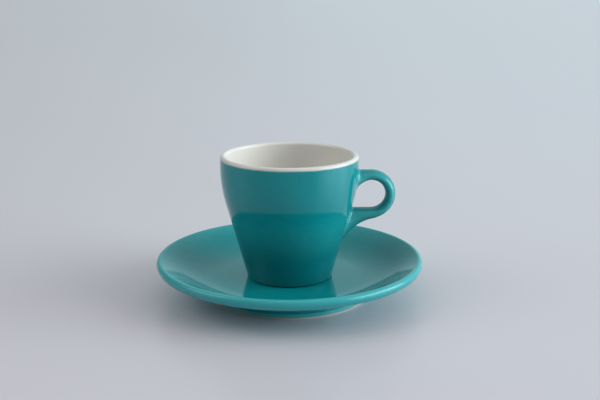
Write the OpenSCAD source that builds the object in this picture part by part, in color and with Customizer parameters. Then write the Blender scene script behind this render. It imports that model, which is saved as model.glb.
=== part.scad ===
// Espresso cup on its saucer: thick glazed porcelain, turquoise outside and white inside.
// Millimetres, +Z up. The origin is on the cup's axis, at the table under the saucer.
// The handle points along +X. The cup stands free on the saucer's flat floor.
// Every outline is the finished glazed surface. The fired clay lies one glaze thickness inside it.

/* [Saucer] */
// Outside diameter of the saucer across its rim
saucer_d = 123; // [116:1:134]
// Height of the saucer from the table to the top of its rim
saucer_h = 18; // [16:0.5:20]
// Thickness of the rounded upper edge of the saucer's rim
rim_t = 3.4; // [2.8:0.1:4]
// Radius of the fuller rounding under that rim
rim_under_r = 3.3; // [2.2:0.1:4.2]
// Height of the flat floor that the cup stands on
floor_h = 8.4; // [7.6:0.1:9.2]
// Diameter at which the line of the floor meets the line of the flank
bend_d = 83.4; // [79:0.2:88]
// Radius of the hollow sweep from the floor up to the flank
sweep_r = 40; // [20:1:44]
// Thickness of the dish, straight down from that meeting
dish_t = 2.85; // [2.5:0.05:3.5]
// Radius of the bend in the underside of the dish
under_r = 20; // [8:1:30]
// Outside diameter of the saucer's foot ring
foot_d = 74.2; // [69:0.2:76]
// Height of the foot ring below the dish
foot_h = 3.9; // [3.4:0.1:4.4]
// Width of the foot ring
foot_w = 3.6; // [2.8:0.1:4.4]
// Radius of the foot ring's rounded edges
foot_edge_r = 0.8; // [0.6:0.1:1.2]
// Radius of the hollow fillets where the foot ring joins the dish
foot_fillet_r = 1.2; // [0.8:0.1:1.8]

/* [Cup] */
// Outside diameter of the cup at its lip
cup_d = 63; // [59:0.5:68]
// Height of the cup from its foot to its lip
cup_h = 57.3; // [54:0.1:62]
// Diameter of the lower end of the sloping wall
base_d = 39.4; // [36:0.2:42]
// Height above the cup's foot at which the sloping wall's line meets the upright wall's line
shoulder_h = 43.3; // [39:0.1:46]
// Radius of the bend from the sloping wall to the upright wall
shoulder_r = 62; // [30:1:80]
// Thickness of the wall at the lip
lip_t = 2.8; // [2.3:0.1:3.4]
// Thickness of the wall, level, just above the cup's floor
low_wall_t = 3.3; // [2.8:0.1:4]
// Thickness of the cup's floor above the hollow of its foot
cup_floor_t = 3.6; // [3:0.1:4.4]
// Radius of the hollow inside, where the wall meets the floor
well_r = 8; // [4:0.5:11]
// Width of the cup's foot ring
cup_foot_w = 2.6; // [2:0.1:3.4]
// Depth of the hollow under the cup's floor
cup_foot_h = 1.8; // [1.4:0.1:2.4]
// Height of the flat bevel between the cup's foot ring and its wall
bevel_h = 0.6; // [0.5:0.05:1]
// Width of that bevel
bevel_w = 2.2; // [1.6:0.1:2.6]
// Radius of the rounded edge between the bevel and the wall
bevel_r = 0.6; // [0.4:0.1:0.8]

/* [Handle] */
// How far the handle stands out from the lip's outside
reach = 17.15; // [15:0.05:20]
// Drop from the top of the lip to the top of the handle
handle_drop = 7.25; // [6:0.05:8.5]
// Height of the finger hole
hole_h = 13; // [11:0.2:15]
// Thickness of the handle's strap, in the plane of the loop
strap_t = 4.7; // [4:0.1:5.6]
// Width of the handle's strap, across the loop
strap_w = 8.4; // [7:0.1:10]
// Width of the strap where it joins the wall
root_w = 10.4; // [10:0.1:12]
// Extra thickness under the upper arm where it joins the wall
root_flare = 3.2; // [2:0.1:4]
// Length over which the upper arm swells towards the wall
root_len = 6; // [4:0.1:6.5]
// How far the tail of the lower arm runs down the wall
tail_drop = 10.4; // [8:0.1:12]
// Length over which the lower arm swells into its tail
tail_len = 19.2; // [17:0.1:22]
// Small swell all round the strap at the luted joint
lute_flare = 0.5; // [0.3:0.1:1.2]
// Length of that small swell
lute_len = 2.2; // [1.4:0.1:3]

/* [Glaze] */
// Thickness of the glaze coats
glaze_t = 0.3; // [0.2:0.05:0.4]
// Height above the table at which the saucer's glaze stops
glaze_line_h = 1.25; // [1:0.05:1.5]
// Angle round the lip's outer edge, from its top, at which white meets turquoise
colour_turn = 80; // [60:1:86]
// Height above the saucer's floor at which the cup's outer coat stops
coat_end_h = 0.3; // [0.2:0.05:0.4]
// Height above the saucer's floor at which the white coat in the foot's hollow stops
base_end_h = 0.5; // [0.4:0.05:0.7]

/* [Hidden] */

turquoise = "#159a9f";
white_glaze = "#ece9e1";
bare_clay = "#e6dfd2";
// Full turns are drawn with this many sides
$fn = 160;
// Degrees that one chord spans on a wide sweep and on a tight edge
wide_step = 3.6;
tight_step = 18;
// Radius of each rounded edge of the lip, as a share of the lip's thickness
lip_edge_share = 0.46;
// Radius of the cup's foot edges and its inner fillet, as shares of the foot ring's width
cup_edge_share = 0.2;
cup_fillet_share = 0.3;
// Power of the curve by which the tail swells, and of the curve of the roots
tail_power = 2.5;
root_power = 2;
// How far before the bottom of the loop the tail's swell starts, as a share of its length
tail_lead_share = 0.325;
// Most of a corner's shorter side that its rounding may take, at a plain corner and at the shoulder
corner_share = 0.49;
shoulder_share = 0.85;
// Rings along the upper arm, the loop and the lower arm, and sides of each ring
arm_rings = 9;
loop_rings = 22;
tail_rings = 14;
ring_sides = 20;

saucer_r = saucer_d / 2;
rim_r = rim_t / 2;
rim_centre = [saucer_r - rim_r, saucer_h - rim_r];
rim_under_centre = [saucer_r - rim_under_r, saucer_h - rim_r];
foot_r = foot_d / 2;
foot_in_r = foot_r - foot_w;
cup_r = cup_d / 2;
lip_in_r = cup_r - lip_t;
lip_edge_r = lip_t * lip_edge_share;
well_h = cup_foot_h + cup_floor_t;
cup_foot_r = base_d / 2 - bevel_w;
cup_foot_in_r = cup_foot_r - cup_foot_w;
cup_edge_r = cup_foot_w * cup_edge_share;
cup_fillet_r = cup_foot_w * cup_fillet_share;
loop_out_r = hole_h / 2 + strap_t;
loop_mid_r = hole_h / 2 + strap_t / 2;
loop_x = cup_r + reach - loop_out_r;
loop_z = cup_h - handle_drop - loop_out_r;
tail_z = loop_z - loop_out_r - tail_drop;

// Outlines. Each is a list of [point, outward normal], walked with the clay on the right.

function unit(v) = v / norm(v);
function left_of(v) = [-v.y, v.x];
function cross_z(u, v) = u.x * v.y - u.y * v.x;
function heading(v) = atan2(v.y, v.x);
function polar(r, a) = [r * cos(a), r * sin(a)];
function flip(list) = [for (i = [len(list) - 1 : -1 : 0]) list[i]];
function rest(list) = [for (i = [1 : len(list) - 1]) list[i]];

// Points of an outline, pushed out along its normals by t
function at(line, t = 0) = [for (s = line) s[0] + t * s[1]];

// The corner at b between a and c, rounded with radius r as far as its two sides allow
function rounded(a, b, c, r, step = tight_step, share = corner_share) =
    let (
        u = unit(b - a),
        v = unit(c - b),
        side = sign(cross_z(u, v)),
        turn = acos(min(1, u * v)),
        room = min(norm(b - a), norm(c - b)) * share,
        radius = min(r, room / tan(turn / 2)),
        centre = b - u * radius * tan(turn / 2) + side * radius * left_of(u),
        n = max(2, ceil(turn / step))
    )
    [for (i = [0 : n])
        let (out = polar(1, heading(left_of(u)) + side * turn * i / n))
        [centre - side * radius * out, out]];

// Direction of the line from point p that touches a circle, with the circle on its right or left
function tangent_heading(p, centre, r, side) =
    heading(centre - p) + side * asin(r / norm(centre - p));

// Arc round a centre, walked clockwise from one heading of the normal to another
function round_rim(centre, r, from, to, step = tight_step) =
    let (n = ceil((from - to) / step))
    [for (i = [0 : n])
        let (out = polar(1, from + (to - from) * i / n))
        [centre + r * out, out]];

// Saucer
bend = [bend_d / 2, floor_h];
under_bend = [bend_d / 2, floor_h - dish_t];
foot_top = [foot_r, foot_h];
foot_in_top = [foot_in_r, foot_h];
glaze_stop = [foot_r, glaze_line_h];
glaze_in_stop = [foot_in_r, glaze_line_h];
flank_a = tangent_heading(bend, rim_centre, rim_r, 1);
under_a = tangent_heading(under_bend, rim_under_centre, rim_under_r, -1);
rim_line = concat(
    round_rim(rim_centre, rim_r, flank_a + 90, 0),
    rest(round_rim(rim_under_centre, rim_under_r, 0, under_a - 90))
);

saucer_top_line = concat(
    [[[0, floor_h], [0, 1]]],
    rounded([0, floor_h], bend, rim_line[0][0], sweep_r, wide_step),
    rim_line,
    rounded(rim_line[len(rim_line) - 1][0], under_bend, foot_top, under_r, wide_step),
    rounded(under_bend, foot_top, glaze_stop, foot_fillet_r),
    [[glaze_stop, [1, 0]]]
);
saucer_foot_line = concat(
    rounded(glaze_stop, [foot_r, -glaze_t], [foot_in_r, -glaze_t], foot_edge_r),
    rounded([foot_r, -glaze_t], [foot_in_r, -glaze_t], glaze_in_stop, foot_edge_r)
);
saucer_base_line = concat(
    [[glaze_in_stop, [-1, 0]]],
    rounded(glaze_in_stop, foot_in_top, [0, foot_h], foot_fillet_r),
    [[[0, foot_h], [0, -1]]]
);

// Cup, with heights counted from the face that its foot stands on
shoulder = [cup_r, shoulder_h];
wall_foot = [base_d / 2, bevel_h];
function wall_r(h) = wall_foot.x + (shoulder.x - wall_foot.x) * (h - wall_foot.y) / (shoulder.y - wall_foot.y);
well_corner = [wall_r(well_h) - low_wall_t, well_h];
in_shoulder = [lip_in_r, shoulder_h];
lip_in_top = [lip_in_r, cup_h];
lip_top = [cup_r, cup_h];
lip_centre = lip_top - lip_edge_r * [1, 1];
bevel_end = [cup_foot_r, -glaze_t];
coat_share = (coat_end_h + glaze_t) / (bevel_h + glaze_t);
coat_stop = bevel_end + (wall_foot - bevel_end) * coat_share;
foot_in = [cup_foot_in_r, -glaze_t];
base_stop = [cup_foot_in_r, base_end_h];
hollow_corner = [cup_foot_in_r, cup_foot_h];

lining_line = concat(
    [[[0, well_h], [0, 1]]],
    rounded([0, well_h], well_corner, in_shoulder, well_r, wide_step * 2),
    rounded(well_corner, in_shoulder, lip_in_top, shoulder_r - lip_t, wide_step, shoulder_share),
    rounded(in_shoulder, lip_in_top, lip_top, lip_edge_r),
    round_rim(lip_centre, lip_edge_r, 90, 90 - colour_turn)
);
coat_line = concat(
    round_rim(lip_centre, lip_edge_r, 90 - colour_turn, 0),
    rounded(lip_top, shoulder, wall_foot, shoulder_r, wide_step, shoulder_share),
    rounded(shoulder, wall_foot, bevel_end, bevel_r),
    [[coat_stop, left_of(unit(bevel_end - wall_foot))]]
);
cup_foot_line = concat(
    rounded(coat_stop, bevel_end, foot_in, cup_edge_r),
    rounded(bevel_end, foot_in, base_stop, cup_edge_r)
);
cup_base_line = concat(
    [[base_stop, [-1, 0]]],
    rounded(base_stop, hollow_corner, [0, cup_foot_h], cup_fillet_r),
    [[[0, cup_foot_h], [0, -1]]]
);

module revolve(points) {
    rotate_extrude()
        polygon(points);
}

// A coat of glaze over one outline
module coat(line) {
    revolve(concat(at(line), flip(at(line, -glaze_t))));
}

// Everything within the outer wall, glazed (t = 0) or bare (t = -glaze_t), to seat the handle on
module within_wall(t) {
    line = at(coat_line, t);
    revolve(concat([[0, line[0].y]], line, [[0, line[len(line) - 1].y]]));
}

// Handle. A station is [path point, outward normal in the XZ plane, swell outwards,
// swell towards the hole, swell across]. The loop is a half circle between two level arms.

// Swell that falls from full at the wall to nothing at the given length
function swell(full, length, d) = full * pow(max(0, 1 - max(d, -lip_t / 2) / length), root_power);
// Swell of the tail, at a distance s past the bottom of the loop
function tail_swell(s) =
    tail_drop * pow(max(0, min(1, (s + tail_len * tail_lead_share) / tail_len)), tail_power);

arm_start = cup_r - lip_t;
tail_end = wall_r(tail_z) - lip_t;
root_swell_w = (root_w - strap_w) / 2;
function lower_wall_x(x) = x - wall_r(loop_z - loop_out_r);

arm_stations = [for (i = [0 : arm_rings - 1])
    let (
        x = arm_start + (loop_x - arm_start) * i / arm_rings,
        d = x - cup_r
    )
    [[x, loop_z + loop_mid_r], [0, 1], swell(lute_flare, lute_len, d),
        swell(root_flare, root_len, d), swell(root_swell_w, root_len, d)]];
loop_stations = [for (i = [0 : loop_rings])
    let (
        a = 90 - 180 * i / loop_rings,
        s = -loop_mid_r * (a + 90) * PI / 180
    )
    [[loop_x, loop_z] + polar(loop_mid_r, a), polar(1, a), tail_swell(s), 0, 0]];
tail_stations = [for (i = [1 : tail_rings])
    let (
        x = loop_x + (tail_end - loop_x) * i / tail_rings,
        d = lower_wall_x(x)
    )
    [[x, loop_z - loop_mid_r], [0, -1], tail_swell(loop_x - x),
        swell(lute_flare, lute_len, d), swell(root_swell_w, root_len, d)]];
stations = concat(arm_stations, loop_stations, tail_stations);

// One oval ring, drawn t outside the finished surface
function ring(s, t) =
    let (
        out = strap_t / 2 + s[2] + t,
        in = strap_t / 2 + s[3] + t,
        across = strap_w / 2 + s[4] + t
    )
    [for (k = [0 : ring_sides - 1])
        let (
            a = 360 * k / ring_sides,
            p = s[0] + s[1] * ((out - in) / 2 + (out + in) / 2 * cos(a))
        )
        [p.x, across * sin(a), p.y]];

// Two triangles on each side between one ring and the next
function skin(rings, first, turned) = [for (i = [0 : rings - 2], k = [0 : ring_sides - 1])
    let (
        a = first + i * ring_sides + k,
        b = first + i * ring_sides + (k + 1) % ring_sides,
        c = a + ring_sides,
        d = b + ring_sides
    )
    each turned ? [[a, d, b], [a, c, d]] : [[a, b, d], [a, d, c]]];

// The bare clay strap, closed at both ends
module strap_core() {
    n = len(stations);
    last = (n - 1) * ring_sides;
    polyhedron(
        [for (s = stations) each ring(s, -glaze_t)],
        concat(
            skin(n, 0, false),
            [[for (k = [ring_sides - 1 : -1 : 0]) k]],
            [[for (k = [0 : ring_sides - 1]) last + k]]
        ),
        convexity = 6
    );
}

// The coat round the strap: an open tube with the strap's own surface inside
module strap_coat() {
    n = len(stations);
    inner = n * ring_sides;
    last = (n - 1) * ring_sides;
    polyhedron(
        concat(
            [for (s = stations) each ring(s, 0)],
            [for (s = stations) each ring(s, -glaze_t)]
        ),
        concat(
            skin(n, 0, false),
            skin(n, inner, true),
            [for (k = [0 : ring_sides - 1])
                let (next = (k + 1) % ring_sides)
                each [
                    [k, inner + next, next], [k, inner + k, inner + next],
                    [last + k, last + next, last + inner + next],
                    [last + k, last + inner + next, last + inner + k]
                ]]
        ),
        convexity = 6
    );
}

// Sub-parts

// Fired clay of the saucer: dish, round rim and foot ring with a bare tread
module saucer_body() {
    color(bare_clay)
        revolve(concat(
            at(saucer_top_line, -glaze_t),
            at(saucer_foot_line, -glaze_t),
            at(saucer_base_line, -glaze_t)
        ));
}

// Turquoise coat over the dish, the rim and the underside, down to the foot ring
module saucer_glaze() {
    color(turquoise)
        coat(saucer_top_line);
}

// Turquoise coat in the hollow inside the foot ring
module saucer_base_glaze() {
    color(turquoise)
        coat(saucer_base_line);
}

// Fired clay of the cup: wall, floor and foot ring
module cup_body() {
    color(bare_clay)
        translate([0, 0, floor_h])
            revolve(concat(
                at(lining_line, -glaze_t),
                at(coat_line, -glaze_t),
                at(cup_foot_line, -glaze_t),
                at(cup_base_line, -glaze_t)
            ));
}

// White coat inside the cup and over its lip
module cup_lining_glaze() {
    color(white_glaze)
        translate([0, 0, floor_h])
            coat(lining_line);
}

// Turquoise coat on the outer wall, open where the handle's clay joins the cup's
module cup_coat_glaze() {
    color(turquoise)
        translate([0, 0, floor_h])
            difference() {
                coat(coat_line);
                strap_core();
            }
}

// White coat in the hollow of the cup's foot
module cup_base_glaze() {
    color(white_glaze)
        translate([0, 0, floor_h])
            coat(cup_base_line);
}

// Cast clay handle, luted to the wall at both arms
module cup_handle() {
    color(bare_clay)
        translate([0, 0, floor_h])
            difference() {
                strap_core();
                within_wall(-glaze_t);
            }
}

// Turquoise coat round the handle, which ends on the coat of the wall
module handle_glaze() {
    color(turquoise)
        translate([0, 0, floor_h])
            difference() {
                strap_coat();
                within_wall(0);
            }
}

saucer_body();
saucer_glaze();
saucer_base_glaze();
cup_body();
cup_lining_glaze();
cup_coat_glaze();
cup_base_glaze();
cup_handle();
handle_glaze();
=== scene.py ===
import math

import bpy
import numpy as np
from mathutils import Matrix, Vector


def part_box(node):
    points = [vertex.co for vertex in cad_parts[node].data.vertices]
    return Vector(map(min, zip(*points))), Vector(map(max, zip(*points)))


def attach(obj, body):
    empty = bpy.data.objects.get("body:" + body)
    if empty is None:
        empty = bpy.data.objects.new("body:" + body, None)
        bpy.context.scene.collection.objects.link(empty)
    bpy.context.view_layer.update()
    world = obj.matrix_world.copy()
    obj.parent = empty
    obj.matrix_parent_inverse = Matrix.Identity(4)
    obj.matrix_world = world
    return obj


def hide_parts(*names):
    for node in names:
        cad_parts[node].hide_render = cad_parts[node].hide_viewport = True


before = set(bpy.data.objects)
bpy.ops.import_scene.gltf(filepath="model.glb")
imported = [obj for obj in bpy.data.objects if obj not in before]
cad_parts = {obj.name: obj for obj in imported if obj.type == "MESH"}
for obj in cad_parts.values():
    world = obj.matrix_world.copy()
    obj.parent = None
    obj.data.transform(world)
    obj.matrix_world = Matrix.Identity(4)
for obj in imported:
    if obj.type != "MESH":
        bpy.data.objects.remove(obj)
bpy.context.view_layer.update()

# Espresso cup on its saucer: smooth glazed surfaces over the packed clay pieces.
# Every outline is a list of (point, outward normal) pairs in the half plane (radius, height),
# walked with the clay on the right. Lengths are in metres.

MM = 0.001

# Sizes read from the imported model
SAUCER_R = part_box("saucer_glaze")[1].x
SAUCER_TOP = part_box("saucer_glaze")[1].z
FLOOR_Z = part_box("cup_body")[0].z
CUP_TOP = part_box("cup_lining_glaze")[1].z
CUP_R = -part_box("cup_coat_glaze")[0].x
HANDLE_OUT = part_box("handle_glaze")[1].x
FOOT_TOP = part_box("saucer_base_glaze")[1].z
GLAZE_STOP_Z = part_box("saucer_glaze")[0].z

# Thickness of every coat of glaze
GLAZE_T = 0.3 * MM

# Saucer: the round edge of its rim, above and below
RIM_R = 1.7 * MM
RIM_UNDER_R = 3.3 * MM
# Where the level dish bends up into the flank, how widely above and below, and how thick it is there
BEND_R = 41.7 * MM
SWEEP_R = 40 * MM
UNDER_R = 20 * MM
DISH_T = 2.85 * MM
# Its foot ring, with the rounding of the tread and of the corners at its top
FOOT_R = 37.1 * MM
FOOT_W = 3.6 * MM
FOOT_EDGE_R = 0.8 * MM
FOOT_FILLET_R = 1.2 * MM

# Cup, with heights counted from the floor of the saucer
CUP_H = CUP_TOP - FLOOR_Z
# The lower end of the wall, and the bevel that leads in from it to the foot ring
BASE_R = 19.7 * MM
BEVEL_H = 0.6 * MM
BEVEL_W = 2.2 * MM
BEVEL_R = 0.6 * MM
# The shoulder, above which the wall stands upright and below which it tapers
SHOULDER_H = 43.3 * MM
SHOULDER_R = 62 * MM
LIP_T = 2.8 * MM
LIP_EDGE_R = 1.29 * MM
LOW_WALL_T = 3.3 * MM
CUP_FLOOR_T = 3.6 * MM
WELL_R = 8 * MM
# The foot ring and the hollow inside it
CUP_FOOT_R = BASE_R - BEVEL_W
CUP_FOOT_W = 2.6 * MM
CUP_FOOT_H = 1.8 * MM
CUP_EDGE_R = 0.52 * MM
CUP_FILLET_R = 0.78 * MM
# Heights at which the outer coat and the coat in the hollow stop short of the tread
COAT_END_H = 0.3 * MM
BASE_END_H = 0.5 * MM
# Angle round the lip's outer edge, from its top, at which white meets turquoise
COLOUR_TURN = 80

# Heights between which the cup's glaze goes from its darkest, painted shade near the saucer, to its plain
# colour
PAINTED_SHADE_FULL_Z = FLOOR_Z + 11 * MM
PAINTED_SHADE_END_Z = FLOOR_Z + 32 * MM

# Most of a corner's shorter side that its rounding may take, at a plain corner and at the shoulder
CORNER_SHARE = 0.49
SHOULDER_SHARE = 0.85

# Handle: how far its top lies below the lip, the height of its hole, and its strap
HANDLE_DROP = 7.25 * MM
HOLE_H = 13 * MM
STRAP_T = 4.7 * MM
STRAP_W = 8.4 * MM
# Near the wall both arms widen, and the upper one also swells towards the hole
ROOT_W = 10.4 * MM
ROOT_FLARE = 3.2 * MM
ROOT_LEN = 6 * MM
# The tail swells the strap downwards over a length that starts before the bottom of the loop
TAIL_DROP = 10.4 * MM
TAIL_LEN = 19.2 * MM
TAIL_LEAD_SHARE = 0.325
TAIL_LEAD = TAIL_LEAD_SHARE * TAIL_LEN
TAIL_POWER = 2.5
# Rounding between the handle and the wall
FILLET_R = 1.4 * MM
# The fillet's hidden skirt: how far it runs on along the wall, and how deep its two rings are sunk
SKIRT_W = 0.4 * MM
SKIRT_DEPTH = 1.2 * MM
SKIRT_COVER = 0.01 * MM

# How finely the surfaces are drawn: rings and sides by number, arcs by degrees a step
TURN_STEPS = 192
WIDE_STEP = 0.9
WELL_STEP = 3 * WIDE_STEP
TIGHT_STEP = 5
LEAST_STEPS = 3
BEAD_STEPS = 4
STRAP_SIDES = 64
STRAP_RINGS = 96
FILLET_RINGS = 10
# Halvings in the search for the place where the strap is at a given distance from the wall
SEARCH_STEPS = 40
# Height over which the lean of the wall is measured, to each side
LEAN_STEP = 0.2 * MM
# Radius below which a point of an outline counts as lying on the axis
ON_AXIS_R = 0.0001 * MM
# Length over which the curvature of an outline is averaged for the thickness of its glaze
EDGE_SPAN = 0.8 * MM


# Outlines

def cosine(angle):
    """Cosine of an angle in degrees."""
    return math.cos(math.radians(angle))


def sine(angle):
    """Sine of an angle in degrees."""
    return math.sin(math.radians(angle))


def left_of(v):
    return Vector((-v.y, v.x))


def heading(v):
    return math.degrees(math.atan2(v.y, v.x))


def polar(radius, angle):
    return Vector((radius * cosine(angle), radius * sine(angle)))


def point(r, z):
    return Vector((r, z))


def rounded(a, b, c, radius, step=TIGHT_STEP, share=CORNER_SHARE):
    """The corner at b between a and c, rounded as far as its two sides allow."""
    u = (b - a).normalized()
    v = (c - b).normalized()
    side = math.copysign(1, u.x * v.y - u.y * v.x)
    turn = math.degrees(math.acos(min(1, u.dot(v))))
    half = math.tan(math.radians(turn / 2))
    radius = min(radius, min((b - a).length, (c - b).length) * share / half)
    centre = b - u * radius * half + side * radius * left_of(u)
    count = max(LEAST_STEPS, math.ceil(turn / step))
    start = heading(left_of(u))
    out = [polar(1, start + side * turn * i / count) for i in range(count + 1)]
    return [(centre - side * radius * n, n) for n in out]


def round_rim(centre, radius, start, end):
    """Arc round a centre, walked clockwise from one heading of the normal to another."""
    count = math.ceil((start - end) / TIGHT_STEP)
    out = [polar(1, start + (end - start) * i / count) for i in range(count + 1)]
    return [(centre + radius * n, n) for n in out]


def tangent_heading(p, centre, radius, side):
    """Direction of the line from p that touches a circle, which lies on its right or left."""
    return heading(centre - p) + side * math.degrees(math.asin(radius / (centre - p).length))


def inset(line, depth):
    return [(p - depth * n, n) for p, n in line]


def bead(line, depth, at_end):
    """Rounded free edge of a coat, from its outer face down to the clay."""
    p, n = line[-1] if at_end else line[0]
    along = Vector((n.y, -n.x)) if at_end else Vector((-n.y, n.x))
    foot = p - depth * n
    angles = [90 * i / BEAD_STEPS for i in range(1, BEAD_STEPS + 1)]
    arc = [cosine(a) * n + sine(a) * along for a in angles]
    out = [(foot + depth * d, d) for d in arc]
    return out if at_end else out[::-1]


def coat(line, start_bead=False, end_bead=False):
    """Closed outline of a glaze coat: its face, its free edges and the clay under it."""
    first = bead(line, GLAZE_T, False) if start_bead else []
    last = bead(line, GLAZE_T, True) if end_bead else []
    back = [(p, -n) for p, n in inset(line, GLAZE_T)[::-1]]
    return first + line + last + back


# Meshes

def edge_share(line):
    """Signed curvature of an outline at each point, averaged over a short length, times that length."""
    run = [0]
    turn = [0]
    for (p, n), (q, m) in zip(line, line[1:]):
        run.append(run[-1] + (q - p).length)
        turn.append(turn[-1] + math.atan2(n.x * m.y - n.y * m.x, n.dot(m)))
    near = np.interp([s - EDGE_SPAN for s in run], run, turn)
    far = np.interp([s + EDGE_SPAN for s in run], run, turn)
    return (near - far) / 2


def new_object(name, verts, faces, edges, normals=None):
    """A smooth piece. Its edge values say how sharply the surface bends at each vertex."""
    mesh = bpy.data.meshes.new(name)
    mesh.from_pydata(verts, [], faces)
    mesh.shade_smooth()
    mesh.attributes.new("edge", "FLOAT", "POINT").data.foreach_set("value", edges)
    mesh.validate()
    if normals is not None:
        mesh.normals_split_custom_set_from_vertices(normals)
    piece = bpy.data.objects.new(name, mesh)
    bpy.context.scene.collection.objects.link(piece)
    return piece


def lathe(name, line, lift=0):
    """Turns a closed outline about the Z axis. Points on the axis become one vertex."""
    verts, normals, edges, rows = [], [], [], []
    for (p, n), edge in zip(line, edge_share(line)):
        on_axis = p.x < ON_AXIS_R
        count = 1 if on_axis else TURN_STEPS
        rows.append([len(verts) + i for i in range(count)] * (TURN_STEPS // count))
        for i in range(count):
            a = math.tau * i / TURN_STEPS
            verts.append((p.x * math.cos(a), p.x * math.sin(a), p.y + lift))
            normals.append((n.x * math.cos(a), n.x * math.sin(a), n.y))
            edges.append(edge)
    faces = []
    for row, below in zip(rows, rows[1:] + rows[:1]):
        for i in range(TURN_STEPS):
            j = (i + 1) % TURN_STEPS
            ring = list(dict.fromkeys((row[i], below[i], below[j], row[j])))
            if len(ring) > 2:
                faces.append(ring)
    return new_object(name, verts, faces, edges, normals)


# Saucer outline, from the middle of its floor over the rim and under to the foot

rim_centre = point(SAUCER_R - RIM_R, SAUCER_TOP - RIM_R)
rim_under_centre = point(SAUCER_R - RIM_UNDER_R, SAUCER_TOP - RIM_R)
bend = point(BEND_R, FLOOR_Z)
under_bend = point(BEND_R, FLOOR_Z - DISH_T)
foot_in_r = FOOT_R - FOOT_W
foot_top = point(FOOT_R, FOOT_TOP)
foot_in_top = point(foot_in_r, FOOT_TOP)
glaze_stop = point(FOOT_R, GLAZE_STOP_Z)
glaze_in_stop = point(foot_in_r, GLAZE_STOP_Z)
foot_low = point(FOOT_R, -GLAZE_T)
foot_in_low = point(foot_in_r, -GLAZE_T)
flank_heading = tangent_heading(bend, rim_centre, RIM_R, 1)
under_heading = tangent_heading(under_bend, rim_under_centre, RIM_UNDER_R, -1)
rim_line = (
    round_rim(rim_centre, RIM_R, flank_heading + 90, 0)
    + round_rim(rim_under_centre, RIM_UNDER_R, 0, under_heading - 90)[1:]
)
saucer_top_line = (
    [(point(0, FLOOR_Z), Vector((0, 1)))]
    + rounded(point(0, FLOOR_Z), bend, rim_line[0][0], SWEEP_R, WIDE_STEP)
    + rim_line
    + rounded(rim_line[-1][0], under_bend, foot_top, UNDER_R, WIDE_STEP)
    + rounded(under_bend, foot_top, glaze_stop, FOOT_FILLET_R)
    + [(glaze_stop, Vector((1, 0)))]
)
saucer_foot_line = (
    rounded(glaze_stop, foot_low, foot_in_low, FOOT_EDGE_R)
    + rounded(foot_low, foot_in_low, glaze_in_stop, FOOT_EDGE_R)
)
saucer_base_line = (
    [(glaze_in_stop, Vector((-1, 0)))]
    + rounded(glaze_in_stop, foot_in_top, point(0, FOOT_TOP), FOOT_FILLET_R)
    + [(point(0, FOOT_TOP), Vector((0, -1)))]
)

# Cup outlines: the white lining from the well over the lip, the outer coat, the foot and its hollow

shoulder = point(CUP_R, SHOULDER_H)
wall_foot = point(BASE_R, BEVEL_H)
wall_slope = (shoulder.x - wall_foot.x) / (shoulder.y - wall_foot.y)
well_h = CUP_FOOT_H + CUP_FLOOR_T
well_corner = point(wall_foot.x + wall_slope * (well_h - wall_foot.y) - LOW_WALL_T, well_h)
lip_in_r = CUP_R - LIP_T
in_shoulder = point(lip_in_r, SHOULDER_H)
lip_in = point(lip_in_r, CUP_H)
lip_out = point(CUP_R, CUP_H)
lip_centre = point(CUP_R - LIP_EDGE_R, CUP_H - LIP_EDGE_R)
colour_heading = 90 - COLOUR_TURN
cup_foot_in_r = CUP_FOOT_R - CUP_FOOT_W
bevel_end = point(CUP_FOOT_R, -GLAZE_T)
coat_stop = bevel_end + (wall_foot - bevel_end) * (COAT_END_H + GLAZE_T) / (BEVEL_H + GLAZE_T)
cup_foot_in = point(cup_foot_in_r, -GLAZE_T)
base_stop = point(cup_foot_in_r, BASE_END_H)
hollow_corner = point(cup_foot_in_r, CUP_FOOT_H)

lining_line = (
    [(point(0, well_h), Vector((0, 1)))]
    + rounded(point(0, well_h), well_corner, in_shoulder, WELL_R, WELL_STEP)
    + rounded(well_corner, in_shoulder, lip_in, SHOULDER_R - LIP_T, WIDE_STEP, SHOULDER_SHARE)
    + rounded(in_shoulder, lip_in, lip_out, LIP_EDGE_R)
    + round_rim(lip_centre, LIP_EDGE_R, 90, colour_heading)
)
coat_line = (
    round_rim(lip_centre, LIP_EDGE_R, colour_heading, 0)
    + rounded(lip_out, shoulder, wall_foot, SHOULDER_R, WIDE_STEP, SHOULDER_SHARE)
    + rounded(shoulder, wall_foot, bevel_end, BEVEL_R)
    + [(coat_stop, left_of((bevel_end - wall_foot).normalized()))]
)
cup_foot_line = (
    rounded(coat_stop, bevel_end, cup_foot_in, CUP_EDGE_R)
    + rounded(bevel_end, cup_foot_in, base_stop, CUP_EDGE_R)
)
cup_base_line = (
    [(base_stop, Vector((-1, 0)))]
    + rounded(base_stop, hollow_corner, point(0, CUP_FOOT_H), CUP_FILLET_R)
    + [(point(0, CUP_FOOT_H), Vector((0, -1)))]
)


# Handle. Its strap follows a path of two level arms and a half circle between them.

loop_out_r = HOLE_H / 2 + STRAP_T
loop_mid_r = HOLE_H / 2 + STRAP_T / 2
loop_x = HANDLE_OUT - loop_out_r
loop_z = CUP_H - HANDLE_DROP - loop_out_r
loop_run = math.pi * loop_mid_r
wall_heights = [p.y for p, n in coat_line][::-1]
wall_radii = [p.x for p, n in coat_line][::-1]


def wall_r(h):
    return float(np.interp(h, wall_heights, wall_radii))


def wall_gap(p):
    """Level distance of a point from the cup's outer wall."""
    return math.hypot(p.x, p.y) - wall_r(p.z)


def wall_normal(p):
    lean = (wall_r(p.z + LEAN_STEP) - wall_r(p.z - LEAN_STEP)) / (2 * LEAN_STEP)
    r = math.hypot(p.x, p.y)
    return Vector((p.x / r, p.y / r, -lean)).normalized()


def on_wall(p, gap):
    """The point moved level until it lies at that distance from the wall."""
    r = math.hypot(p.x, p.y)
    k = (wall_r(p.z) + gap) / r
    return Vector((p.x * k, p.y * k, p.z))


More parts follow.
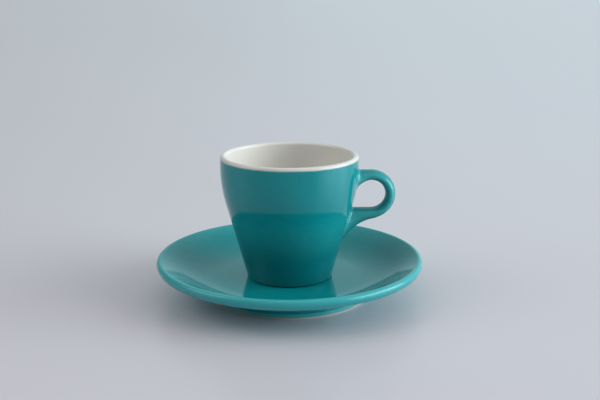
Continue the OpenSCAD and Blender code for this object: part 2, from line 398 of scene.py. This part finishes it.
def swell(full, length, d):
    """Flare at a distance d from the wall, which fades out over a length. It grows on into the wall."""
    return full * max(0, 1 - max(d, -LIP_T / 2) / length) ** 2


def tail_swell(s):
    """Swell of the tail, at a distance s past the bottom of the loop."""
    return TAIL_DROP * max(0, min(1, (s + TAIL_LEAD) / TAIL_LEN)) ** TAIL_POWER


def station(run):
    """Path point, outward direction and the strap's reach outwards, inwards and across."""
    half_t, half_w = STRAP_T / 2, STRAP_W / 2
    root_w = (ROOT_W - STRAP_W) / 2
    if run < 0:
        x = loop_x + run
        d = x - CUP_R
        return (Vector((x, 0, loop_z + loop_mid_r)), Vector((0, 0, 1)),
                half_t, half_t + swell(ROOT_FLARE, ROOT_LEN, d), half_w + swell(root_w, ROOT_LEN, d))
    if run < loop_run:
        a = math.pi / 2 - math.pi * run / loop_run
        out = Vector((math.cos(a), 0, math.sin(a)))
        reach = half_t + tail_swell(run - loop_run)
        return (Vector((loop_x, 0, loop_z)) + loop_mid_r * out, out, reach, half_t, half_w)
    x = loop_x - (run - loop_run)
    d = x - wall_r(loop_z - loop_out_r)
    return (Vector((x, 0, loop_z - loop_mid_r)), Vector((0, 0, -1)),
            half_t + tail_swell(run - loop_run), half_t, half_w + swell(root_w, ROOT_LEN, d))


def strap_point(run, a):
    """A point of the strap's skin and the direction that points out of its section there."""
    centre, out, far, near, across = station(run)
    u, v = math.cos(a), math.sin(a)
    p = centre + out * ((far - near) / 2 + (far + near) / 2 * u) + Vector((0, across * v, 0))
    n = out * u * across + Vector((0, v * (far + near) / 2, 0))
    return p, n.normalized()


def run_at_gap(gap, a, inside, outside):
    """Where along the strap its skin is at that distance from the wall."""
    for step in range(SEARCH_STEPS):
        middle = (inside + outside) / 2
        if wall_gap(strap_point(middle, a)[0]) > gap:
            outside = middle
        else:
            inside = middle
    return (inside + outside) / 2


def fillet_point(gap, spread, a, inside, outside):
    """A point of the fillet: on the strap's skin at that gap, moved out along the wall."""
    p, n = strap_point(run_at_gap(max(gap, 0), a, inside, outside), a)
    w = wall_normal(p)
    along = (n - n.dot(w) * w).normalized()
    return on_wall(p + spread * along, gap)


def strap_rings():
    """Rings of the handle's skin, from inside the wall at the top round to inside the wall below."""
    first = (-(loop_x - CUP_R + LIP_T), 0)
    last = (loop_run + loop_x - (wall_r(loop_z - loop_out_r - TAIL_DROP) - LIP_T), loop_run)
    angles = [math.tau * k / STRAP_SIDES for k in range(STRAP_SIDES)]
    sunk = [(-depth, FILLET_R + SKIRT_W) for depth in (SKIRT_DEPTH, SKIRT_COVER)]
    bends = [90 * i / FILLET_RINGS for i in range(FILLET_RINGS)]
    sweep = sunk + [(FILLET_R * (1 - cosine(b)), FILLET_R * (1 - sine(b))) for b in bends]
    rings = [[fillet_point(gap, spread, a, *first) for a in angles] for gap, spread in sweep]
    top = [run_at_gap(FILLET_R, a, *first) for a in angles]
    low = [run_at_gap(FILLET_R, a, *last) for a in angles]
    for i in range(STRAP_RINGS + 1):
        t = i / STRAP_RINGS
        rings.append([strap_point(r + (s - r) * t, a)[0] for r, s, a in zip(top, low, angles)])
    rings += [[fillet_point(gap, spread, a, *last) for a in angles] for gap, spread in sweep[::-1]]
    return rings


def make_handle(name):
    """The handle's skin. Its glaze thins with the curvature of the strap's oval section, which also paints
    highlights on its rounded sides.
    """
    rings = strap_rings()
    a, b = STRAP_T / 2, STRAP_W / 2
    verts, edges, faces = [], [], []
    for ring in rings:
        for k, p in enumerate(ring):
            angle = math.tau * k / STRAP_SIDES
            verts.append(tuple(p + Vector((0, 0, FLOOR_Z))))
            bent = a * b / ((a * math.sin(angle)) ** 2 + (b * math.cos(angle)) ** 2) ** 1.5
            edges.append(bent * EDGE_SPAN)
    for i in range(len(rings) - 1):
        for k in range(STRAP_SIDES):
            j = (k + 1) % STRAP_SIDES
            row, below = i * STRAP_SIDES, (i + 1) * STRAP_SIDES
            faces.append((row + k, row + j, below + j, below + k))
    last = (len(rings) - 1) * STRAP_SIDES
    faces.append(tuple(range(STRAP_SIDES))[::-1])
    faces.append(tuple(last + k for k in range(STRAP_SIDES)))
    return new_object(name, verts, faces, edges)


# Materials

class Shader:
    """A small helper round a node tree, so that each material reads as a list of steps."""

    def __init__(self, tree):
        self.nodes = tree.nodes
        self.links = tree.links

    def node(self, kind, **settings):
        node = self.nodes.new(kind)
        for name, value in settings.items():
            setattr(node, name, value)
        return node

    def feed(self, socket, value):
        if isinstance(value, bpy.types.NodeSocket):
            self.links.new(value, socket)
        else:
            socket.default_value = value

    def math(self, operation, *values):
        node = self.node("ShaderNodeMath", operation=operation)
        for socket, value in zip(node.inputs, values):
            self.feed(socket, value)
        return node.outputs[0]

    def noise(self, where, scale, detail, roughness=0.5):
        node = self.node("ShaderNodeTexNoise")
        self.feed(node.inputs["Vector"], where)
        node.inputs["Scale"].default_value = scale
        node.inputs["Detail"].default_value = detail
        node.inputs["Roughness"].default_value = roughness
        return node.outputs["Fac"]

    def ramp(self, value, low, high, out_low=0.0, out_high=1.0):
        """A smooth step from one value to another."""
        node = self.node("ShaderNodeMapRange", interpolation_type="SMOOTHSTEP")
        for socket, number in zip(node.inputs, (value, low, high, out_low, out_high)):
            self.feed(socket, number)
        return node.outputs[0]

    def blend(self, share, a, b, mode="MIX"):
        """Two colours mixed. The node's sockets for colours are inputs 6 and 7 and output 2."""
        node = self.node("ShaderNodeMix", data_type="RGBA", blend_type=mode)
        self.feed(node.inputs[0], share)
        for socket, value in zip(node.inputs[6:8], (a, b)):
            self.feed(socket, value if isinstance(value, bpy.types.NodeSocket) else (*value, 1))
        return node.outputs[2]

    def bump(self, height, distance, normal=None):
        node = self.node("ShaderNodeBump")
        node.inputs["Strength"].default_value = 1
        node.inputs["Distance"].default_value = distance
        self.feed(node.inputs["Height"], height)
        if normal is not None:
            self.feed(node.inputs["Normal"], normal)
        return node.outputs[0]


def new_material(name):
    material = bpy.data.materials.new(name)
    material.use_nodes = True
    shader = Shader(material.node_tree)
    shader.surface = shader.nodes["Principled BSDF"]
    shader.where = shader.node("ShaderNodeTexCoord").outputs["Object"]
    shader.edge = shader.node("ShaderNodeAttribute", attribute_name="edge").outputs["Fac"]
    return material, shader


TURQUOISE = (0.003, 0.280, 0.300)
TURQUOISE_POOLED = (0.001, 0.215, 0.245)
# Paler turquoise over edges: partly thinner glaze, partly a painted highlight where edges catch the light
TURQUOISE_THIN_HIGHLIGHT = (0.07, 0.49, 0.50)
# The cup's glaze darkened towards the foot: painted shade for the shade that falls on the lower wall near
# the saucer
TURQUOISE_PAINTED_SHADE = (0.001, 0.172, 0.190)
# Tint of the gloss where light meets the turquoise glaze squarely
TURQUOISE_GLOSS = (0.65, 0.95, 1.0)
WHITE_GLAZE = (0.80, 0.79, 0.735)
WHITE_POOLED = (0.72, 0.715, 0.665)
# Bare clay greyer and cooler than white porcelain: painted shade and teal bounce of the tread, which lies
# in the saucer's shade
SHADED_BARE_CLAY = (0.50, 0.53, 0.52)
CLAY_GRAIN = (0.55, 0.51, 0.45)
CLAY_STAIN = (0.45, 0.43, 0.39)

# Noises are given by their scale, in waves a metre. A ramp is given by the two values between which
# it runs and by what it gives at each of them.

GLOSS_IOR = 1.5
GLOSS_WAVES = 60
GLOSS_ROUGHNESS_RAMP = (0.3, 0.7, 0.07, 0.10)
BROAD_PEEL_WAVES = 160
BROAD_PEEL_H = 1.2e-6
FINE_PEEL_WAVES = 900
FINE_PEEL_H = 0.15e-6


def glaze_surface(s):
    """Gloss that all the glazes share: a glassy skin with a faint orange peel."""
    broad = s.noise(s.where, BROAD_PEEL_WAVES, 1)
    fine = s.noise(s.where, FINE_PEEL_WAVES, 2)
    s.feed(s.surface.inputs["Normal"], s.bump(fine, FINE_PEEL_H, s.bump(broad, BROAD_PEEL_H)))
    gloss = s.noise(s.where, GLOSS_WAVES, 3)
    s.feed(s.surface.inputs["Roughness"], s.ramp(gloss, *GLOSS_ROUGHNESS_RAMP))
    s.surface.inputs["IOR"].default_value = GLOSS_IOR


TURQUOISE_CLOUD_WAVES = 45
TURQUOISE_CLOUD_RAMP = (0.25, 0.75, 0, 0.35)
TURQUOISE_SPECK_WAVES = 2600
TURQUOISE_SPECK_RAMP = (0.68, 0.78, 0, 0.25)
# Where the outline's curvature thins the glaze over an edge and paints the highlight that the edge catches,
# and where it pools it in a hollow
EDGE_WAVES = 300
EDGE_WAVE_SHARE = 0.15
THIN_HIGHLIGHT_RAMP = (0.05, 0.6, 0, 0.75)
TURQUOISE_POOL_RAMP = (-0.8, -0.1, 0.7, 0)
# How the cup's turquoise fades into the white at the lip: the line's waves, and its reach below and above
LINE_WAVES = 140
LINE_WOBBLE = 0.4 * MM
LINE_BELOW = 0.45 * MM
LINE_ABOVE = 0.2 * MM
LINE_WHITE_SHARE = 0.75


def turquoise_glaze(name, line_z=None):
    """Turquoise glaze: paler over an edge, where it thins and also as a painted highlight, and deeper in a
    hollow.

    With the height of the colour line given, it is also darker towards the cup's foot as painted shade, and
    pale at the line.
    """
    material, s = new_material(name)
    cloud = s.noise(s.where, TURQUOISE_CLOUD_WAVES, 3)
    colour = s.blend(s.ramp(cloud, *TURQUOISE_CLOUD_RAMP), TURQUOISE, TURQUOISE_POOLED)
    wave = s.math("MULTIPLY", s.noise(s.where, EDGE_WAVES, 2), EDGE_WAVE_SHARE)
    wavy_edge = s.math("ADD", s.edge, wave)
    # Paler over convex edges: partly thinner glaze, partly a painted highlight
    colour = s.blend(s.ramp(wavy_edge, *THIN_HIGHLIGHT_RAMP), colour, TURQUOISE_THIN_HIGHLIGHT)
    colour = s.blend(s.ramp(s.edge, *TURQUOISE_POOL_RAMP), colour, TURQUOISE_POOLED)
    speck = s.noise(s.where, TURQUOISE_SPECK_WAVES, 1)
    colour = s.blend(s.ramp(speck, *TURQUOISE_SPECK_RAMP), colour, TURQUOISE_POOLED)
    if line_z is not None:
        height = s.node("ShaderNodeSeparateXYZ")
        s.feed(height.inputs[0], s.where)
        wobble = s.math("MULTIPLY", s.noise(s.where, LINE_WAVES, 2), LINE_WOBBLE)
        level = s.math("ADD", height.outputs["Z"], wobble)
        # Painted shade: the glaze darkens towards the foot, where the saucer shades the lower wall and the
        # handle's tail
        painted_shade = s.ramp(level, PAINTED_SHADE_FULL_Z, PAINTED_SHADE_END_Z, 1, 0)
        colour = s.blend(painted_shade, colour, TURQUOISE_PAINTED_SHADE)
        thin = s.ramp(level, line_z - LINE_BELOW, line_z + LINE_ABOVE, 0, LINE_WHITE_SHARE)
        colour = s.blend(thin, colour, WHITE_GLAZE)
    s.feed(s.surface.inputs["Base Color"], colour)
    s.surface.inputs["Specular Tint"].default_value = (*TURQUOISE_GLOSS, 1)
    glaze_surface(s)
    return material


WHITE_CLOUD_WAVES = 50
WHITE_CLOUD_RAMP = (0.3, 0.75, 0, 0.5)
WHITE_POOL_RAMP = (-0.6, -0.05, 0.8, 0)
WHITE_SPECK_WAVES = 1900
WHITE_SPECK_RAMP = (0.72, 0.8, 0, 0.2)


def white_glaze(name):
    """White glaze: a little deeper in a hollow, with faint clouds and specks."""
    material, s = new_material(name)
    cloud = s.noise(s.where, WHITE_CLOUD_WAVES, 3)
    colour = s.blend(s.ramp(cloud, *WHITE_CLOUD_RAMP), WHITE_GLAZE, WHITE_POOLED)
    colour = s.blend(s.ramp(s.edge, *WHITE_POOL_RAMP), colour, WHITE_POOLED)
    speck = s.noise(s.where, WHITE_SPECK_WAVES, 1)
    colour = s.blend(s.ramp(speck, *WHITE_SPECK_RAMP), colour, SHADED_BARE_CLAY)
    s.feed(s.surface.inputs["Base Color"], colour)
    glaze_surface(s)
    return material


CLAY_GRAIN_WAVES = 2400
CLAY_GRAIN_HARSHNESS = 0.6
CLAY_GRAIN_RAMP = (0.35, 0.7, 0, 0.4)
CLAY_GRAIN_H = 2e-5
CLAY_ROUGHNESS_RAMP = (0.2, 0.8, 0.55, 0.75)
CLAY_STAIN_WAVES = 220
CLAY_STAIN_RAMP = (0.55, 0.8, 0, 0.35)


def bare_porcelain(name):
    """Fired clay without glaze: matt, with a fine grain and faint stains, and greyed and cooled as painted
    shade.
    """
    material, s = new_material(name)
    grain = s.noise(s.where, CLAY_GRAIN_WAVES, 4, CLAY_GRAIN_HARSHNESS)
    stain = s.noise(s.where, CLAY_STAIN_WAVES, 3)
    colour = s.blend(s.ramp(grain, *CLAY_GRAIN_RAMP), SHADED_BARE_CLAY, CLAY_GRAIN)
    colour = s.blend(s.ramp(stain, *CLAY_STAIN_RAMP), colour, CLAY_STAIN)
    s.feed(s.surface.inputs["Base Color"], colour)
    s.feed(s.surface.inputs["Roughness"], s.ramp(grain, *CLAY_ROUGHNESS_RAMP))
    s.feed(s.surface.inputs["Normal"], s.bump(grain, CLAY_GRAIN_H))
    return material


# Pieces

def place(piece, material, body, slot, *nodes):
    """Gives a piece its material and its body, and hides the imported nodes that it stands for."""
    piece.data.materials.append(material)
    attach(piece, body)
    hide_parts(*nodes)


saucer_clay_line = saucer_top_line + saucer_foot_line + saucer_base_line
cup_clay_line = lining_line + coat_line[1:] + cup_foot_line + cup_base_line
line_z = CUP_TOP - LIP_EDGE_R * (1 - sine(colour_heading))
saucer_turquoise = turquoise_glaze("saucer_turquoise")
cup_turquoise = turquoise_glaze("cup_turquoise", line_z)
white = white_glaze("white_lining")
clay = bare_porcelain("bare_clay")

place(lathe("saucer_coat", coat(saucer_top_line, end_bead=True)),
      saucer_turquoise, "saucer", "turquoise_glaze", "saucer_glaze")
place(lathe("saucer_base_coat", coat(saucer_base_line, start_bead=True)),
      saucer_turquoise, "saucer", "turquoise_glaze", "saucer_base_glaze")
place(lathe("saucer_clay", inset(saucer_clay_line, GLAZE_T)),
      clay, "saucer", "bare_porcelain", "saucer_body")
place(lathe("cup_coat", coat(coat_line, end_bead=True), FLOOR_Z),
      cup_turquoise, "cup", "turquoise_glaze", "cup_coat_glaze")
place(lathe("cup_lining", coat(lining_line), FLOOR_Z),
      white, "cup", "white_glaze", "cup_lining_glaze")
place(lathe("cup_base_coat", coat(cup_base_line, start_bead=True), FLOOR_Z),
      white, "cup", "white_glaze", "cup_base_glaze")
place(lathe("cup_clay", inset(cup_clay_line, GLAZE_T), FLOOR_Z),
      clay, "cup", "bare_porcelain", "cup_body")
place(make_handle("handle"),
      cup_turquoise, "cup", "turquoise_glaze", "cup_handle", "handle_glaze")


# Stage: a pale satin table, a window on the right, a wall that it lights on the left, and the room

TABLE_HALF = 8.0
# The table is paler and bluer on the right: painted light, as from the window on that side
TABLE_SHADED_LEFT = (0.68, 0.66, 0.705)
TABLE_LIT_RIGHT = (0.71, 0.70, 0.76)
# Distance to each side of the object over which the table's colour changes from its shaded left to its lit
# right
TABLE_LIGHT_FADE = 0.25
TABLE_ROUGHNESS = 0.3
TABLE_IOR = 1.5


def table_material():
    material, s = new_material("pale_table")
    across = s.node("ShaderNodeSeparateXYZ")
    s.feed(across.inputs[0], s.where)
    # Painted light: the table's colour brightens towards the window's side
    colour = s.blend(s.ramp(across.outputs["X"], -TABLE_LIGHT_FADE, TABLE_LIGHT_FADE), TABLE_SHADED_LEFT, TABLE_LIT_RIGHT)
    s.feed(s.surface.inputs["Base Color"], colour)
    s.surface.inputs["Roughness"].default_value = TABLE_ROUGHNESS
    s.surface.inputs["IOR"].default_value = TABLE_IOR
    return material


def make_table():
    mesh = bpy.data.meshes.new("table")
    h = TABLE_HALF
    mesh.from_pydata([(-h, -h, 0), (h, -h, 0), (h, h, 0), (-h, h, 0)], [], [(0, 1, 2, 3)])
    table = bpy.data.objects.new("table", mesh)
    bpy.context.scene.collection.objects.link(table)
    table.data.materials.append(table_material())


# The world's light comes by direction. Headings and heights are in degrees, and a heading counts from
# the camera's side to the right. Levels are sines of heights.

WINDOW_HEADING = 80
WINDOW_LIGHT = 5.35
# The window is full within one angle to each side of its heading and ends at the other
WINDOW_FULL = 15
WINDOW_END = 35
# Levels between which the window's light comes in over its sill and goes out under its head
SILL_RAMP = (-0.05, 0.08)
HEAD_RAMP = (0.42, 0.72, 1, 0)
# A pale wall high on the left, which the window lights
WALL_HEADING = 279
WALL_HEIGHT = 34
WALL_SPREAD = 30
WALL_LIGHT = 1.75
DAYLIGHT_TINT = (0.96, 1.0, 1.04)
# Heading of the room's brightest side
ROOM_HEADING = 129
ROOM_RAMP = (-0.4, 1)
ROOM_DIM = (0.003, 0.003, 0.003)
ROOM_BRIGHT = (0.575, 0.785, 0.83)
CEILING = (0.58, 0.54, 0.53)
CEILING_RAMP = (0.2, 0.95)
# What the camera itself sees past the table
BACKGROUND = (0.55, 0.58, 0.62)
# Least square of a direction's level part, which has to stay above zero because it divides
LEAST_FLAT = 1e-4


def make_light():
    """World light: the window and the wall over the room, and a plain background for the camera."""
    world = bpy.data.worlds.new("window_light")
    world.use_nodes = True
    bpy.context.scene.world = world
    s = Shader(world.node_tree)
    axis = s.node("ShaderNodeSeparateXYZ")
    s.feed(axis.inputs[0], s.node("ShaderNodeTexCoord").outputs["Generated"])
    x, y, z = axis.outputs

    def weighed(a, a_weight, b, b_weight):
        return s.math("ADD", s.math("MULTIPLY", a, a_weight), s.math("MULTIPLY", b, b_weight))

    def toward(turn):
        return weighed(x, sine(turn), y, -cosine(turn))

    flat_squared = s.math("SUBTRACT", 1, s.math("MULTIPLY", z, z))
    flat = s.math("SQRT", s.math("MAXIMUM", flat_squared, LEAST_FLAT))
    facing = s.math("DIVIDE", toward(WINDOW_HEADING), flat)
    sides = s.ramp(facing, cosine(WINDOW_END), cosine(WINDOW_FULL))
    rise = s.math("MULTIPLY", s.ramp(z, *SILL_RAMP), s.ramp(z, *HEAD_RAMP))
    window = s.math("MULTIPLY", s.math("MULTIPLY", sides, rise), WINDOW_LIGHT)
    near_wall = weighed(toward(WALL_HEADING), cosine(WALL_HEIGHT), z, sine(WALL_HEIGHT))
    wall = s.ramp(near_wall, cosine(WALL_SPREAD), 1, 0, WALL_LIGHT)
    daylight = s.math("ADD", window, wall)
    tinted = s.node("ShaderNodeCombineColor")
    for socket, tint in zip(tinted.inputs, DAYLIGHT_TINT):
        s.feed(socket, s.math("MULTIPLY", daylight, tint))
    room = s.blend(s.ramp(toward(ROOM_HEADING), *ROOM_RAMP), ROOM_DIM, ROOM_BRIGHT)
    room = s.blend(s.ramp(z, *CEILING_RAMP), room, CEILING)
    light = s.blend(1, room, tinted.outputs[0], "ADD")
    seen = s.node("ShaderNodeLightPath").outputs["Is Camera Ray"]
    ground = s.nodes["Background"]
    s.feed(ground.inputs["Color"], s.blend(seen, light, BACKGROUND))
    ground.inputs["Strength"].default_value = 1


# The photograph's own viewpoint, found from the cup's and saucer's outlines in it. The sensor and the
# lens are in millimetres, and the angles are from straight down and to the left.
SENSOR_W = 36
LENS = 53.12
CAMERA_BACK = 394.4 * MM
CAMERA_Z = 144.3 * MM
CAMERA_PITCH = 75.76
CAMERA_YAW = -0.702


def make_camera():
    data = bpy.data.cameras.new("camera")
    data.sensor_width = SENSOR_W
    data.lens = LENS
    camera = bpy.data.objects.new("camera", data)
    camera.location = (0, -CAMERA_BACK, CAMERA_Z)
    camera.rotation_euler = (math.radians(CAMERA_PITCH), 0, math.radians(CAMERA_YAW))
    bpy.context.scene.collection.objects.link(camera)
    bpy.context.scene.camera = camera


make_table()
make_light()
make_camera()
bpy.context.scene.view_settings.view_transform = "Standard"
